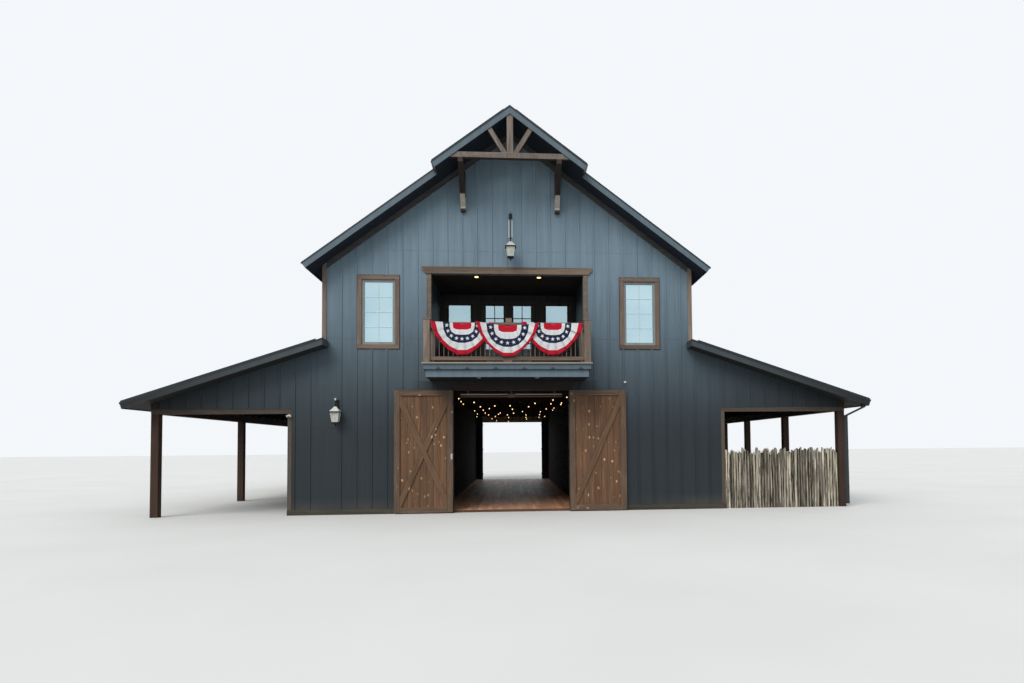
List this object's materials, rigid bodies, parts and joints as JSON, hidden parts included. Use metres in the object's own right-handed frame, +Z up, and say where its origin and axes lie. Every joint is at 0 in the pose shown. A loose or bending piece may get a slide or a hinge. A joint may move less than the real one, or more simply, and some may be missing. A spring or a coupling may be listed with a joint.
{
  "type": "two-storey barn with side porches and balcony",
  "caption": "Timber barn, board-and-batten walls, steep gable roof with hooded truss, railed balcony, through corridor with swing doors and a lean-to porch on each side.",
  "frame": {"origin": "on the ground, under the middle of the overall box", "axes": "+Z up, the front with the balcony faces -Y, +X to the right seen from the front"},
  "size_m": [19.96, 20.12, 10.801],
  "materials": {
    "siding": "dark blue-grey paint on boards and battens, satin",
    "trim": "brown stain, matt",
    "fascia": "grey paint, satin",
    "roof": "charcoal standing-seam sheet, satin",
    "timber": "dark brown stain, rough sawn",
    "weathered_timber": "weathered grey-brown, rough sawn",
    "door_wood": "stained planks with pale knots",
    "floor": "red-brown boards, worn",
    "interior": "dark boards, matt",
    "sash": "pale grey, satin",
    "glass": "clear, reflective",
    "lamp_glass": "frosted",
    "iron": "black, satin",
    "hardware": "black hinge iron, satin",
    "deck": "light brown boards, matt",
    "stakes": "weathered grey, bark partly gone",
    "bunting": "pleated cotton, red, white and navy rings with pale stars"
  },
  "bodies": {
    "building": {"front_lower_walls": "siding", "front_upper_walls": "siding", "front_wall_over_door": "siding", "gable_walls": "siding", "rear_lower_walls": "siding", "rear_upper_wall": "siding", "side_walls": "siding", "porch_wing_walls": "siding", "porch_end_gables": "siding", "porch_jamb_posts": "trim", "porch_posts": "timber", "porch_end_beams": "trim", "porch_side_beams": "timber", "ground_floor": "floor", "upper_floor": "interior", "corridor_walls": "interior", "main_roof_right": "roof", "main_roof_left": "roof", "main_fascia_right": "fascia", "main_fascia_left": "fascia", "ridge_cap": "roof", "porch_roofs": "roof", "porch_fascias": "fascia", "hood_truss": "weathered_timber", "hood_brackets": "weathered_timber", "corner_boards": "trim", "base_boards": "trim", "rake_friezes": "trim", "door_headers": "trim", "window_casings": "trim", "window_sashes": "sash", "balcony_deck": "deck", "balcony_rim": "fascia", "balcony_surround": "trim", "balcony_newels": "trim", "balcony_railings": "trim", "recess_side_walls": "siding", "recess_back_wall": "siding", "recess_ceiling": "interior", "recess_doors_and_windows": "trim", "window_panes": "glass", "door_pintles": "hardware", "rear_doors": "door_wood", "rear_door_straps": "hardware", "lantern_frames": "iron", "lantern_glass": "lamp_glass", "stake_screen": "stakes", "bunting": "bunting", "downspout": "iron"},
    "left_door": {"left_door_planks": "door_wood", "left_door_frame": "door_wood", "left_door_straps": "hardware"},
    "right_door": {"right_door_planks": "door_wood", "right_door_frame": "door_wood", "right_door_straps": "hardware"}
  },
  "joints": [
    {"name": "left_door_swing", "type": "hinge", "parent": "building", "child": "left_door", "pos_m": [-1.585, -8.868, 1.6765], "axis": [0, 0, 1], "range_deg": [0, 180]},
    {"name": "right_door_swing", "type": "hinge", "parent": "building", "child": "right_door", "pos_m": [1.585, -8.868, 1.6765], "axis": [0, 0, -1], "range_deg": [0, 180]}
  ]
}
